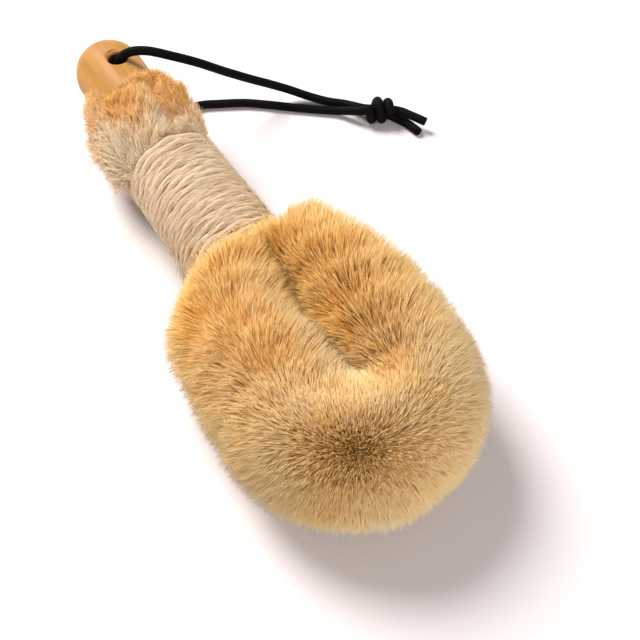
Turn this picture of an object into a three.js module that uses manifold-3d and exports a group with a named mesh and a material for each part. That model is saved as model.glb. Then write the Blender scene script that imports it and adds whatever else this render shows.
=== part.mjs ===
// Sisal scrub brush: a wired fibre rod bent into a U and lashed to a turned wooden handle.
// Millimetres, +Z up, +Y along the handle from the scrubbing head to the hanging end.
// The brush lies on the plane z = 0.
import * as THREE from 'three';
import { mergeGeometries, mergeVertices } from 'three/addons/utils/BufferGeometryUtils.js';
import Module from 'manifold-3d';

const wasm = await Module();
wasm.setup();

// Gap kept between pieces that touch
const CLEARANCE = 0.3;

// Twisted wire of the fibre rod
const WIRE_DIAMETER = 1.3;
const WIRE_SPACING = 0.4;
const WIRE_TWIST_LENGTH = 24;
const WIRE_BORE_CLEARANCE = 0.45;
const WIRE_SIDES = 5;
const WIRE_STEPS_PER_TURN = 9;

// Scrubbing head, measured from the lower edge of the twine wrap
const HEAD_RADIUS = 20.3;
const HEAD_CORE_RADIUS = 9.2;
const CORE_SIDES = 6;
const BEND_RADIUS = 16;
const LEG_LENGTH = 53.2;
const NECK_LENGTH = 26;
const FLOOR_CUT = 0.5;

// Strands of the head, one on each outer facet of its core
const HEAD_STEPS = 12;
const NECK_LEAN = { left: 8, right: 25 };
const NECK_TRIM = { left: 0.27, right: 0.05 };
const NECK_TRIM_LENGTH = 9;
const STRAND_ROOT_SHARE = 0.62;
const STRAND_TIP_SHARE = 0.2;
const SHORTEST_STRAND = 2.6;
const STRAND_SIDE_GAP = 0.8;

// Handle, measured along its own axis from the lower edge of the twine wrap
const HANDLE_HEIGHT = 16.3;
const HANDLE_TILT = 2.9;
const HANDLE_YAW = 0.8;
const DOWEL_RADIUS = 6.8;
const DOWEL_START = 0.5;
const DOWEL_CHAMFER = 0.8;
const SHOULDER_LENGTH = 5.2;
const END_RADIUS = 11.4;
const END_LENGTH = 30.5;
const HOLE_FROM_TIP = 18.7;
const HOLE_SHIFT = 1;
const HOLE_DIAMETER = 5.6;
const HOLE_ROUNDING = 1.6;

// Grip and twine wrap
const GRIP_RADIUS = 12.4;
const GRIP_LEG_OFFSET = 9.7;
const WRAP_LENGTH = 48.6;
const TWINE_DIAMETER = 2.9;
const TWINE_TURNS = 12;
const TWINE_EDGE = 0.3;

// End tufts
const TUFT_CORE_LENGTH = 26.5;
const TUFT_RADIUS = 19.4;
const TUFT_RINGS = 5;
const TUFT_STRANDS_PER_RING = 7;
const TUFT_SIDE_REACH = 13;
const TUFT_TOP_REACH = 4;
const TUFT_FIRST_TIP = 4;
const TUFT_END_RADIUS = 15.2;
const TUFT_SPREAD = 158;
const TUFT_ROOT_DEPTH = 1.2;
const TUFT_ROOT_RADIUS = 1.6;
const TUFT_TIP_RADIUS = 0.8;

// Hanging cord; route points are offsets from the axis of the hole, with heights from the floor
const CORD_DIAMETER = 3;
const CORD_SIDES = 8;
const CORD_STEPS = 78;
const CORD_ROUTE = [
  [74.4, -32.15, 3.8], [71.6, -25.4, 2.2], [67.4, -20.7, 1.9], [63.1, -15.9, 2.4], [57.0, -11.0, 4.8],
  [49.5, -10.0, 9.5], [41.7, -10.2, 14.8], [32.6, -9.6, 20.9], [23.9, -8.8, 26.95], [16.2, -7.45, 31.35],
  [8.4, -4.9, 34.7], [4.0, -2.4, 34.45], [0.9, -0.55, 32.2], [-0.5, 0.3, 28.2], [-0.6, 0.35, 22.5],
  [0, 0, 17.0], [0.3, 0.05, 10.2], [2.3, 0.2, 5.2], [6.0, 0.5, 2.6], [11.0, 0.9, 1.8],
  [18.7, 1.1, 1.7], [27.2, 1.0, 1.7], [33.8, -1.9, 1.7], [41.3, -5.8, 1.7], [47.9, -10.9, 1.7],
  [54.2, -16.3, 1.7], [61.2, -22.0, 1.7], [67.4, -27.4, 2.2], [72.35, -35.15, 5.25],
];
const KNOT_ENTRY = [74.2, -34.6, 4.75];
const KNOT_HEADING = -34.5;
const KNOT_LENGTH = 10.9;
const KNOT_END_RADIUS = 3.5;
const KNOT_BULGE_RADIUS = 4.6;
const KNOT_WAIST_RADIUS = 3.6;
const KNOT_SECOND_RADIUS = 4.0;
const TAIL_STEPS = 6;
const UPPER_TAIL_ROUTE = [[84.0, -41.65, 4.95], [86.3, -45.8, 4.7], [89.0, -50.2, 4.0]];
const LOWER_TAIL_ROUTE = [[83.65, -42.3, 1.65], [84.95, -45.7, 1.65], [85.65, -51.1, 1.65]];

// Values that follow from the driving sizes
const HEAD_HEIGHT = HEAD_RADIUS - FLOOR_CUT;
const WIRE_OFFSET = (WIRE_DIAMETER + WIRE_SPACING) / 2;
const WIRE_BORE_RADIUS = WIRE_OFFSET + WIRE_DIAMETER / 2 + WIRE_BORE_CLEARANCE;
const TUFT_START = WRAP_LENGTH + CLEARANCE;
const TUFT_END = TUFT_START + TUFT_CORE_LENGTH;
const SHOULDER_START = TUFT_END + CLEARANCE;
const END_START = SHOULDER_START + SHOULDER_LENGTH;
const HANDLE_TIP = END_START + END_LENGTH;
const HOLE_DISTANCE = HANDLE_TIP - HOLE_FROM_TIP;
const ROD_END = TUFT_END - WIRE_DIAMETER;
const ROD_LENGTH = 2 * (ROD_END + LEG_LENGTH) + Math.PI * BEND_RADIUS;
const TWINE_RADIUS = GRIP_RADIUS + CLEARANCE + TWINE_DIAMETER / 2;
const HANDLE_PLACE = new THREE.Matrix4()
  .makeTranslation(0, 0, HANDLE_HEIGHT)
  .multiply(new THREE.Matrix4().makeRotationZ(THREE.MathUtils.degToRad(-HANDLE_YAW)))
  .multiply(new THREE.Matrix4().makeRotationX(THREE.MathUtils.degToRad(HANDLE_TILT)));
const HOLE_PLACE = new THREE.Vector3(HOLE_SHIFT, HOLE_DISTANCE, 0).applyMatrix4(HANDLE_PLACE);
const UP = new THREE.Vector3(0, 0, 1);

// Solids and booleans

function toManifold(geometry) {
  const bare = geometry.clone();
  bare.deleteAttribute('normal');
  bare.deleteAttribute('uv');
  const merged = mergeVertices(bare, 1e-4);
  const mesh = new wasm.Mesh({
    numProp: 3,
    vertProperties: new Float32Array(merged.attributes.position.array),
    triVerts: new Uint32Array(merged.index.array),
  });
  return new wasm.Manifold(mesh);
}

function toGeometry(manifold) {
  const mesh = manifold.getMesh();
  const geometry = new THREE.BufferGeometry();
  geometry.setAttribute('position', new THREE.BufferAttribute(new Float32Array(mesh.vertProperties), 3));
  geometry.setIndex(new THREE.BufferAttribute(new Uint32Array(mesh.triVerts), 1));
  geometry.computeVertexNormals();
  return geometry;
}

function circleShape(radius, sides) {
  const points = [];
  for (let i = 0; i < sides; i += 1) {
    const angle = (2 * Math.PI * i) / sides;
    points.push(new THREE.Vector2(radius * Math.cos(angle), radius * Math.sin(angle)));
  }
  return new THREE.Shape(points);
}

function tubeAlong(curve, radius, sides, steps) {
  return new THREE.ExtrudeGeometry(circleShape(radius, sides), { steps, extrudePath: curve });
}

function boxBetween(low, high) {
  const box = new THREE.BoxGeometry(high[0] - low[0], high[1] - low[1], high[2] - low[2]);
  return box.translate((high[0] + low[0]) / 2, (high[1] + low[1]) / 2, (high[2] + low[2]) / 2);
}

function aboveFloor(manifold) {
  const reach = 1000;
  return manifold.intersect(toManifold(boxBetween([-reach, -reach, 0], [reach, reach, reach])));
}

// Route of the fibre rod: down the left leg, round the bend and up the right leg

function legPoint(side, y) {
  const onHandle = new THREE.Vector3(side * GRIP_LEG_OFFSET, y, 0).applyMatrix4(HANDLE_PLACE);
  const inHead = new THREE.Vector3(side * BEND_RADIUS, y, HEAD_HEIGHT);
  return onHandle.lerp(inHead, THREE.MathUtils.smoothstep(-y, 0, NECK_LENGTH));
}

function rodPoint(distance) {
  const side = distance < ROD_LENGTH / 2 ? -1 : 1;
  const fromEnd = side < 0 ? distance : ROD_LENGTH - distance;
  const y = ROD_END - fromEnd;
  if (y >= -LEG_LENGTH) {
    return legPoint(side, y);
  }
  const angle = (-LEG_LENGTH - y) / BEND_RADIUS;
  const x = side * BEND_RADIUS * Math.cos(angle);
  return new THREE.Vector3(x, -LEG_LENGTH - BEND_RADIUS * Math.sin(angle), HEAD_HEIGHT);
}

function rodFrame(distance) {
  const step = 0.01;
  const along = rodPoint(distance + step).sub(rodPoint(distance - step)).normalize();
  const side = new THREE.Vector3().crossVectors(along, UP).normalize();
  const up = new THREE.Vector3().crossVectors(side, along);
  return { centre: rodPoint(distance), along, side, up };
}

class RodStretch extends THREE.Curve {
  constructor(from, to) {
    super();
    this.from = from;
    this.to = to;
  }

  getPoint(t) {
    return rodPoint(THREE.MathUtils.lerp(this.from, this.to, t));
  }
}

class WireHelix extends THREE.Curve {
  constructor(phase) {
    super();
    this.phase = phase;
  }

  getPoint(t) {
    const distance = t * ROD_LENGTH;
    const { centre, side, up } = rodFrame(distance);
    const angle = this.phase + (2 * Math.PI * distance) / WIRE_TWIST_LENGTH;
    return centre
      .addScaledVector(side, WIRE_OFFSET * Math.cos(angle))
      .addScaledVector(up, WIRE_OFFSET * Math.sin(angle));
  }
}

function wireStrand(phase) {
  const steps = Math.round((ROD_LENGTH / WIRE_TWIST_LENGTH) * WIRE_STEPS_PER_TURN);
  return tubeAlong(new WireHelix(phase), WIRE_DIAMETER / 2, WIRE_SIDES, steps);
}

// Head: a core that holds the twisted wire, with strands drawn out of its facets, split at the bend

// A bore of few sides and steps is widened so that the wire still clears its flats in the bend
function bentBoreRadius() {
  const step = (LEG_LENGTH + (Math.PI / 2) * BEND_RADIUS) / HEAD_STEPS;
  const bow = BEND_RADIUS * (1 - Math.cos(step / (2 * BEND_RADIUS)));
  return (WIRE_BORE_RADIUS + bow) / Math.cos(Math.PI / CORE_SIDES);
}

function strandReach(direction, centre, inwardness, inwardRoom, trim) {
  let reach = HEAD_RADIUS * (1 - trim);
  if (inwardness > 0) {
    reach = Math.min(reach, inwardRoom / inwardness);
  }
  if (direction.z < 0) {
    reach = Math.min(reach, (centre.z + FLOOR_CUT) / -direction.z);
  }
  return reach;
}

// Direction and length of the strand on a facet, or nothing where the head leaves no room for one
function strandTip(side, distance, frame, middle) {
  const y = ROD_END - distance;
  const inBend = y < -LEG_LENGTH;
  const word = side < 0 ? 'left' : 'right';
  const leanShare = 1 - THREE.MathUtils.smoothstep(-y, 0, NECK_LENGTH);
  const trim = NECK_TRIM[word] * (1 - THREE.MathUtils.smoothstep(-y, 0, NECK_TRIM_LENGTH));
  const outward = middle.clone().sub(frame.centre);
  outward.addScaledVector(frame.along, -outward.dot(frame.along)).normalize();
  const lean = THREE.MathUtils.degToRad(NECK_LEAN[word]) * leanShare * Math.max(side * outward.x, 0);
  const direction = outward.multiplyScalar(Math.cos(lean));
  direction.addScaledVector(frame.along, side * Math.sin(lean));
  const inwardness = inBend ? -direction.dot(frame.side) : -side * direction.x;
  const inwardRoom = inBend ? HEAD_CORE_RADIUS : Math.abs(frame.centre.x) - STRAND_SIDE_GAP;
  const reach = strandReach(direction, frame.centre, inwardness, inwardRoom, trim);
  if (reach < HEAD_CORE_RADIUS + SHORTEST_STRAND) {
    return null;
  }
  return frame.centre.clone().addScaledVector(direction, reach);
}

function addTriangle(triangles, a, b, c) {
  for (const corner of [a, b, c]) {
    triangles.push(corner.x, corner.y, corner.z);
  }
}

function addBand(triangles, lower, upper) {
  for (let i = 0; i < lower.length; i += 1) {
    const next = (i + 1) % lower.length;
    addTriangle(triangles, lower[i], lower[next], upper[next]);
    addTriangle(triangles, lower[i], upper[next], upper[i]);
  }
}

function addFacet(triangles, corners, tip) {
  const middle = corners[0].clone().add(corners[1]).add(corners[2]).divideScalar(3);
  if (!tip) {
    addTriangle(triangles, ...corners);
    return;
  }
  const root = corners.map((corner) => middle.clone().lerp(corner, STRAND_ROOT_SHARE));
  const end = corners.map((corner) => corner.clone().sub(middle).multiplyScalar(STRAND_TIP_SHARE).add(tip));
  addBand(triangles, corners, root);
  addBand(triangles, root, end);
  addTriangle(triangles, ...end);
}

function headCorner(frame, ring, k) {
  const angle = -Math.PI / 2 + (2 * Math.PI * (k + (ring % 2) / 2)) / CORE_SIDES;
  return frame.centre.clone()
    .addScaledVector(frame.side, HEAD_CORE_RADIUS * Math.cos(angle))
    .addScaledVector(frame.up, HEAD_CORE_RADIUS * Math.sin(angle));
}

function headBristles(side) {
  const start = ROD_END + CLEARANCE;
  const end = ROD_LENGTH / 2 - CLEARANCE / 2;
  const mirror = (distance) => (side < 0 ? distance : ROD_LENGTH - distance);
  const along = (share) => THREE.MathUtils.lerp(start, end, share / HEAD_STEPS);
  const rings = [];
  for (let ring = 0; ring <= HEAD_STEPS; ring += 1) {
    const frame = rodFrame(mirror(along(ring)));
    const corners = [];
    for (let k = 0; k < CORE_SIDES; k += 1) {
      corners.push(headCorner(frame, ring, k));
    }
    rings.push(corners);
  }

  const triangles = [];
  let strands = 0;
  for (let ring = 0; ring < HEAD_STEPS; ring += 1) {
    const distance = along(ring + 0.5);
    const frame = rodFrame(mirror(distance));
    const odd = ring % 2;
    for (let k = 0; k < CORE_SIDES; k += 1) {
      const next = (k + 1) % CORE_SIDES;
      const lower = rings[ring];
      const upper = rings[ring + 1];
      const facets = [
        [lower[k], lower[next], upper[odd ? next : k]],
        [upper[next], upper[k], lower[odd ? k : next]],
      ];
      for (const corners of facets) {
        const middle = corners[0].clone().add(corners[1]).add(corners[2]).divideScalar(3);
        const tip = strandTip(side, distance, frame, middle);
        strands += tip ? 1 : 0;
        addFacet(triangles, side < 0 ? corners.reverse() : corners, tip);
      }
    }
  }
  for (let k = 1; k + 1 < CORE_SIDES; k += 1) {
    const first = rings[0];
    const last = rings[HEAD_STEPS];
    const caps = [[first[0], first[k + 1], first[k]], [last[0], last[k], last[k + 1]]];
    for (const corners of caps) {
      addTriangle(triangles, ...(side < 0 ? corners.reverse() : corners));
    }
  }
  console.log('strands in one half of the head:', strands);

  const geometry = new THREE.BufferGeometry();
  geometry.setAttribute('position', new THREE.Float32BufferAttribute(triangles, 3));
  const overrun = 2;
  const boreStretch = new RodStretch(mirror(start - overrun), mirror(end + overrun));
  const bore = tubeAlong(boreStretch, bentBoreRadius(), CORE_SIDES, HEAD_STEPS);
  return toGeometry(aboveFloor(toManifold(geometry).subtract(toManifold(bore))));
}

// Grip and tufts: the pressed legs beside the dowel, then the loose rod ends

function halfSleeve(side, radius, from, to, facets) {
  const inner = DOWEL_RADIUS + CLEARANCE;
  const profile = [[inner, from], [radius, from], [radius, to], [inner, to], [inner, from]];
  const ring = new THREE.LatheGeometry(profile.map(([r, y]) => new THREE.Vector2(r, y)), facets);
  const reach = 2 * radius;
  const near = (side * CLEARANCE) / 2;
  const far = side * reach;
  const half = boxBetween([Math.min(near, far), from - 1, -reach], [Math.max(near, far), to + 1, reach]);
  return toManifold(ring).intersect(toManifold(half));
}

function wireBore(side, from, to) {
  const overrun = 2;
  const bore = new THREE.CylinderGeometry(WIRE_BORE_RADIUS, WIRE_BORE_RADIUS, to - from + 2 * overrun, 12);
  return toManifold(bore.translate(side * GRIP_LEG_OFFSET, (from + to) / 2, 0));
}

function gripBundle(side) {
  const sleeve = halfSleeve(side, GRIP_RADIUS, CLEARANCE, WRAP_LENGTH, 32);
  return toGeometry(sleeve.subtract(wireBore(side, CLEARANCE, WRAP_LENGTH))).applyMatrix4(HANDLE_PLACE);
}

// Tips lie on a rounded outline that runs further up the handle at the sides than on top
function tuftStrand(side, y, angle, share) {
  const outward = new THREE.Vector3(side * Math.cos(angle), 0, Math.sin(angle));
  const root = outward.clone().multiplyScalar(GRIP_RADIUS - TUFT_ROOT_DEPTH).setY(y);
  const reach = THREE.MathUtils.lerp(TUFT_TOP_REACH, TUFT_SIDE_REACH, Math.cos(angle) ** 2);
  const taper = Math.max(2 * share - 1, 0) ** 2;
  const tip = outward.clone().multiplyScalar(THREE.MathUtils.lerp(TUFT_RADIUS, TUFT_END_RADIUS, taper));
  tip.y = THREE.MathUtils.lerp(TUFT_START + TUFT_FIRST_TIP, TUFT_END + reach, share);
  const onFloor = tip.clone().applyMatrix4(HANDLE_PLACE).z;
  const rootHeight = root.clone().applyMatrix4(HANDLE_PLACE).z;
  if (onFloor < -FLOOR_CUT) {
    tip.lerp(root, (-FLOOR_CUT - onFloor) / (rootHeight - onFloor));
  }
  const length = tip.distanceTo(root);
  const strand = new THREE.CylinderGeometry(TUFT_TIP_RADIUS, TUFT_ROOT_RADIUS, length, 3);
  const heading = tip.clone().sub(root).normalize();
  strand.applyQuaternion(new THREE.Quaternion().setFromUnitVectors(new THREE.Vector3(0, 1, 0), heading));
  const middle = root.lerp(tip, 0.5);
  return strand.translate(middle.x, middle.y, middle.z);
}

function endTuft(side) {
  const strands = [];
  const spacing = TUFT_CORE_LENGTH / TUFT_RINGS;
  const spread = THREE.MathUtils.degToRad(TUFT_SPREAD);
  for (let ring = 0; ring < TUFT_RINGS; ring += 1) {
    const y = TUFT_START + (ring + 0.5) * spacing;
    const share = ring / (TUFT_RINGS - 1);
    const stagger = ring % 2 ? 0.75 : 0.25;
    for (let k = 0; k < TUFT_STRANDS_PER_RING; k += 1) {
      const angle = spread * ((k + stagger) / TUFT_STRANDS_PER_RING - 0.5);
      strands.push(tuftStrand(side, y, angle, share));
    }
  }
  console.log('strands in one tuft:', strands.length);
  const sleeve = halfSleeve(side, GRIP_RADIUS, TUFT_START, TUFT_END, 12);
  const bore = wireBore(side, TUFT_START, TUFT_END);
  const tuft = toGeometry(sleeve.add(toManifold(mergeGeometries(strands))).subtract(bore));
  return toGeometry(aboveFloor(toManifold(tuft.applyMatrix4(HANDLE_PLACE))));
}

// Twine: one unbroken tube in loops round the grip, with straight ends

function twineSections() {
  const stepsPerTurn = 24;
  const firstY = TWINE_EDGE + TWINE_DIAMETER / 2;
  const lastY = WRAP_LENGTH - firstY;
  const steps = TWINE_TURNS * stepsPerTurn;
  const rise = (lastY - firstY) / steps;
  const sections = [];
  for (let i = 0; i <= steps; i += 1) {
    const angle = (2 * Math.PI * i) / stepsPerTurn;
    const radial = new THREE.Vector3(Math.cos(angle), 0, -Math.sin(angle));
    const turn = (2 * Math.PI * TWINE_RADIUS) / stepsPerTurn;
    const along = new THREE.Vector3(-Math.sin(angle), 0, -Math.cos(angle)).multiplyScalar(turn);
    along.y = rise;
    along.normalize();
    const centre = radial.clone().multiplyScalar(TWINE_RADIUS).setY(firstY + i * rise);
    sections.push({ centre, along, radial });
  }
  const lead = (section, sign) => ({
    ...section,
    centre: section.centre.clone().addScaledVector(section.along, sign * TWINE_DIAMETER),
  });
  return [lead(sections[0], -1), ...sections, lead(sections[steps], 1)];
}

function leastTwineGap(sections) {
  let least = Infinity;
  for (let i = 0; i < sections.length; i += 1) {
    for (let j = i + 12; j < sections.length; j += 1) {
      least = Math.min(least, sections[i].centre.distanceTo(sections[j].centre));
    }
  }
  return least - TWINE_DIAMETER;
}

function twineWrap() {
  const sides = 6;
  const sections = twineSections();
  console.log('least gap of the twine to itself, mm:', leastTwineGap(sections).toFixed(3));
  const positions = [];
  const indices = [];
  for (const { centre, along, radial } of sections) {
    const cross = new THREE.Vector3().crossVectors(along, radial);
    for (let i = 0; i < sides; i += 1) {
      const angle = (2 * Math.PI * i) / sides;
      const corner = centre.clone()
        .addScaledVector(radial, (TWINE_DIAMETER / 2) * Math.cos(angle))
        .addScaledVector(cross, (TWINE_DIAMETER / 2) * Math.sin(angle));
      positions.push(corner.x, corner.y, corner.z);
    }
  }
  for (let ring = 0; ring + 1 < sections.length; ring += 1) {
    for (let i = 0; i < sides; i += 1) {
      const a = ring * sides + i;
      const b = ring * sides + ((i + 1) % sides);
      indices.push(a, b, b + sides, a, b + sides, a + sides);
    }
  }
  const last = (sections.length - 1) * sides;
  for (let i = 1; i + 1 < sides; i += 1) {
    indices.push(0, i + 1, i, last, last + i, last + i + 1);
  }
  const geometry = new THREE.BufferGeometry();
  geometry.setAttribute('position', new THREE.Float32BufferAttribute(positions, 3));
  geometry.setIndex(indices);
  return geometry.applyMatrix4(HANDLE_PLACE);
}

// Handle: a turned dowel that widens to a thick rounded end, drilled for the cord

function handleProfile() {
  const points = [new THREE.Vector2(0, DOWEL_START)];
  points.push(new THREE.Vector2(DOWEL_RADIUS - DOWEL_CHAMFER, DOWEL_START));
  points.push(new THREE.Vector2(DOWEL_RADIUS, DOWEL_START + DOWEL_CHAMFER));
  const shoulderSteps = 6;
  for (let i = 0; i < shoulderSteps; i += 1) {
    const share = i / shoulderSteps;
    const radius = THREE.MathUtils.lerp(DOWEL_RADIUS, END_RADIUS, THREE.MathUtils.smoothstep(share, 0, 1));
    points.push(new THREE.Vector2(radius, THREE.MathUtils.lerp(SHOULDER_START, END_START, share)));
  }
  points.push(new THREE.Vector2(END_RADIUS, END_START));
  const domeCentre = HANDLE_TIP - END_RADIUS;
  const domeSteps = 10;
  for (let i = 0; i < domeSteps; i += 1) {
    const angle = ((Math.PI / 2) * i) / domeSteps;
    points.push(new THREE.Vector2(END_RADIUS * Math.cos(angle), domeCentre + END_RADIUS * Math.sin(angle)));
  }
  points.push(new THREE.Vector2(0, HANDLE_TIP));
  return points;
}

function holeCutter() {
  const radius = HOLE_DIAMETER / 2;
  const half = END_RADIUS - HOLE_ROUNDING;
  const outer = 2 * END_RADIUS;
  const flare = radius + (outer - half);
  const profile = [
    new THREE.Vector2(0, -outer),
    new THREE.Vector2(flare, -outer),
    new THREE.Vector2(radius, -half),
    new THREE.Vector2(radius, half),
    new THREE.Vector2(flare, outer),
    new THREE.Vector2(0, outer),
  ];
  const cutter = new THREE.LatheGeometry(profile, 24);
  return cutter.rotateX(Math.PI / 2).translate(HOLE_PLACE.x, HOLE_PLACE.y, HOLE_PLACE.z);
}

function woodHandle() {
  const turned = new THREE.LatheGeometry(handleProfile(), 36).applyMatrix4(HANDLE_PLACE);
  return toGeometry(toManifold(turned).subtract(toManifold(holeCutter())));
}

// Cord, knot and tails

function fromHole([x, y, z]) {
  return new THREE.Vector3(HOLE_PLACE.x + x, HOLE_PLACE.y + y, z);
}

function cordTube(route, steps) {
  const curve = new THREE.CatmullRomCurve3(route.map(fromHole), false, 'centripetal');
  return tubeAlong(curve, CORD_DIAMETER / 2, CORD_SIDES, steps);
}

function cordKnot() {
  const outline = [
    [0, 0],
    [KNOT_END_RADIUS, 0],
    [KNOT_BULGE_RADIUS, 0.28 * KNOT_LENGTH],
    [KNOT_WAIST_RADIUS, 0.55 * KNOT_LENGTH],
    [KNOT_SECOND_RADIUS, 0.76 * KNOT_LENGTH],
    [KNOT_END_RADIUS, KNOT_LENGTH],
    [0, KNOT_LENGTH],
  ];
  const ends = new THREE.SplineCurve(outline.slice(1, -1).map(([r, y]) => new THREE.Vector2(r, y)));
  const axisStart = new THREE.Vector2(0, 0);
  const axisEnd = new THREE.Vector2(0, KNOT_LENGTH);
  const knot = new THREE.LatheGeometry([axisStart, ...ends.getPoints(12), axisEnd], 14);
  knot.rotateZ(-Math.PI / 2);
  knot.rotateZ(THREE.MathUtils.degToRad(KNOT_HEADING));
  const place = fromHole(KNOT_ENTRY);
  return knot.translate(place.x, place.y, place.z);
}

// Assembly

const FIBRE = { color: 0xd9b27c, roughness: 0.9, metalness: 0 };
const TWINE = { color: 0xe0c9a4, roughness: 0.9, metalness: 0 };
const WOOD = { color: 0xd79a55, roughness: 0.5, metalness: 0 };
const STEEL = { color: 0x9a9a9a, roughness: 0.4, metalness: 1 };
const BLACK_CORD = { color: 0x1a1a1c, roughness: 0.8, metalness: 0 };

const PIECES = [
  ['wood_handle', woodHandle(), WOOD],
  ['wire_strand_a', wireStrand(0), STEEL],
  ['wire_strand_b', wireStrand(Math.PI), STEEL],
  ['grip_bundle_left', gripBundle(-1), FIBRE],
  ['grip_bundle_right', gripBundle(1), FIBRE],
  ['twine_wrap', twineWrap(), TWINE],
  ['head_bristles_left', headBristles(-1), FIBRE],
  ['head_bristles_right', headBristles(1), FIBRE],
  ['end_tuft_left', endTuft(-1), FIBRE],
  ['end_tuft_right', endTuft(1), FIBRE],
  ['hanging_cord', cordTube(CORD_ROUTE, CORD_STEPS), BLACK_CORD],
  ['cord_knot', cordKnot(), BLACK_CORD],
  ['cord_tail_upper', cordTube(UPPER_TAIL_ROUTE, TAIL_STEPS), BLACK_CORD],
  ['cord_tail_lower', cordTube(LOWER_TAIL_ROUTE, TAIL_STEPS), BLACK_CORD],
];

// The frame's origin is under the middle of the brush, without its cord
const brushOnly = PIECES.filter(([name]) => !name.includes('cord')).map(([, geometry]) => geometry);
const brushBox = new THREE.Box3();
for (const geometry of brushOnly) {
  geometry.computeBoundingBox();
  brushBox.union(geometry.boundingBox);
}
const middle = brushBox.getCenter(new THREE.Vector3());

const brush = new THREE.Group();
brush.name = 'sisal_scrub_brush';
for (const [name, geometry, look] of PIECES) {
  const mesh = new THREE.Mesh(
    geometry.translate(-middle.x, -middle.y, -brushBox.min.z),
    new THREE.MeshStandardMaterial(look),
  );
  mesh.name = name;
  brush.add(mesh);
}
console.log('hole axis in the frame, mm:', HOLE_PLACE.x - middle.x, HOLE_PLACE.y - middle.y);
console.log('shift to the frame, mm:', -middle.x, -middle.y, -brushBox.min.z);

export default brush;
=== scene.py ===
import math

import bpy
import numpy as np
from mathutils import Matrix, Vector


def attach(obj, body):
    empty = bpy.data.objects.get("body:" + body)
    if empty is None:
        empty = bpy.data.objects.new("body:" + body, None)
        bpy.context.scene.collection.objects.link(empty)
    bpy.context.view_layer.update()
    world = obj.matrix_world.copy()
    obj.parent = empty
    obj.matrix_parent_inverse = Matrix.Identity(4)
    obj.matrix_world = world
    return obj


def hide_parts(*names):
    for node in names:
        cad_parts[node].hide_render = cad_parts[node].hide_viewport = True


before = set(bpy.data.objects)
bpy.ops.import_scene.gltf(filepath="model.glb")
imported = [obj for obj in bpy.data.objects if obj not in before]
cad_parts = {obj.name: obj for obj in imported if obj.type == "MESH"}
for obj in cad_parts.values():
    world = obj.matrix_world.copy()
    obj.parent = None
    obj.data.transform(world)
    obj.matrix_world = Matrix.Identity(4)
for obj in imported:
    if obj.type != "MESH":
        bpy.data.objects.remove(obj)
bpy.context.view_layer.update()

rng = np.random.default_rng(41)

# Sizes are in millimetres, measured from the lower edge of the twine wrap, as the solids are.
# FRAME_SHIFT takes that origin to the frame's origin under the middle of the brush.
MM = 0.001
FRAME_SHIFT = np.array([0.0, -11.25, 0.0])
LEFT, RIGHT = -1, 1
LEGS = ((LEFT, "left"), (RIGHT, "right"))
UP = np.array([0.0, 0.0, 1.0])

# Wooden handle
HANDLE_HEIGHT = 16.3
HANDLE_TILT = math.radians(2.9)
HANDLE_YAW = math.radians(0.8)
DOWEL_RADIUS = 6.8
DOWEL_START = 0.5
DOWEL_EDGE = 0.8
SHOULDER_START = 75.7
END_START = 80.9
END_RADIUS = 11.4
HANDLE_TIP = 111.4
HOLE_DISTANCE = 92.7
HOLE_SHIFT = 1.0
HOLE_RADIUS = 2.8
HOLE_ROUNDING = 2.0
HOLE_SHADE_RIM = (0.25, 0.6)  # painted shade on the hole's wall fades out between these distances from the wall
SHARP_ANGLE = math.radians(40.0)

# Fibre rod
LEG_OFFSET = 9.7
HEAD_RADIUS = 20.3
HEAD_HEIGHT = 19.8
BEND_RADIUS = 16.0
LEG_LENGTH = 53.2
NECK_LENGTH = 26.0
ROD_END = LEG_LENGTH + math.pi / 2 * BEND_RADIUS

# Strands, their maps, and noise
STRAND_SIDES = 3
MAP_WIDTH = 0.012
MAP_NAME = "OFBake"
NOISE_CELLS = 32
NOISE_SHIFT = 1000.0

# Fibre of the head, with the radii of its strands from root to tip
HEAD_FIBRES = 78000
HEAD_PARTS = 6
HEAD_RADII = np.array([0.13, 0.12, 0.08])
STRAND_STEPS = np.array([0.34, 0.62, 0.86, 1.0])
STRAND_BEND = 0.9
SHORTER_BY = 0.26
SPOT_DEPTH = 14.0
FULLNESS = {
    LEFT: (1.03, (12.0, 24.0, -0.04), (28.0, 40.0, 0.05)),
    RIGHT: (1.13, (2.0, 8.0, 0.03), (10.0, 20.0, -0.08), (24.0, 32.0, 0.02), (45.0, 60.0, -0.11)),
}
GROOVE_X = 0.7
GROOVE_SHIFT = 3.6
GROOVE_RUN = (16.0, 36.0)
BEND_SHARE = 0.5
OUTER_SHARE = 0.7
LEAN_LENGTH = 14.0
LEAN_LEAST = 14.0
LEAN_MORE = {LEFT: 28.0, RIGHT: 16.0}
COMB_ALONG = 0.18
COMB_UP = 0.22
RIDGE_LENGTH = 12.0
RIDGE_DEPTH = 0.07
HEAD_CLUMPING = 0.04
HEAD_FLOOR = (0.35, 2.0)
COLLAR_FIBRES = 1000
COLLAR_INNER = 10.5
COLLAR_START = -5.0
STRAY_FIBRES = 420
STRAY_RADII = np.array([0.09, 0.08, 0.05])
STRAY_CLUMPING = 0.25
STRAY_LENGTH = 2.4
# painted highlight: paler fibre tone on the left lobe's top by the groove; x, y, width and length of the
# patch
PARTING_HIGHLIGHT = (-6.0, -36.0, 6.0, 13.0)
# painted shade: warmer, darker fibre tone on the inner face of the right lobe; x, y, width and length of
# the patch
INNER_LOBE_SHADE = (6.0, -34.0, 6.0, 20.0)
CORE_RADIUS = 14.8
CORE_STEPS = 60
CORE_GAP = 2.5
CORE_TAPER = (4.0, 0.42)

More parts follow.
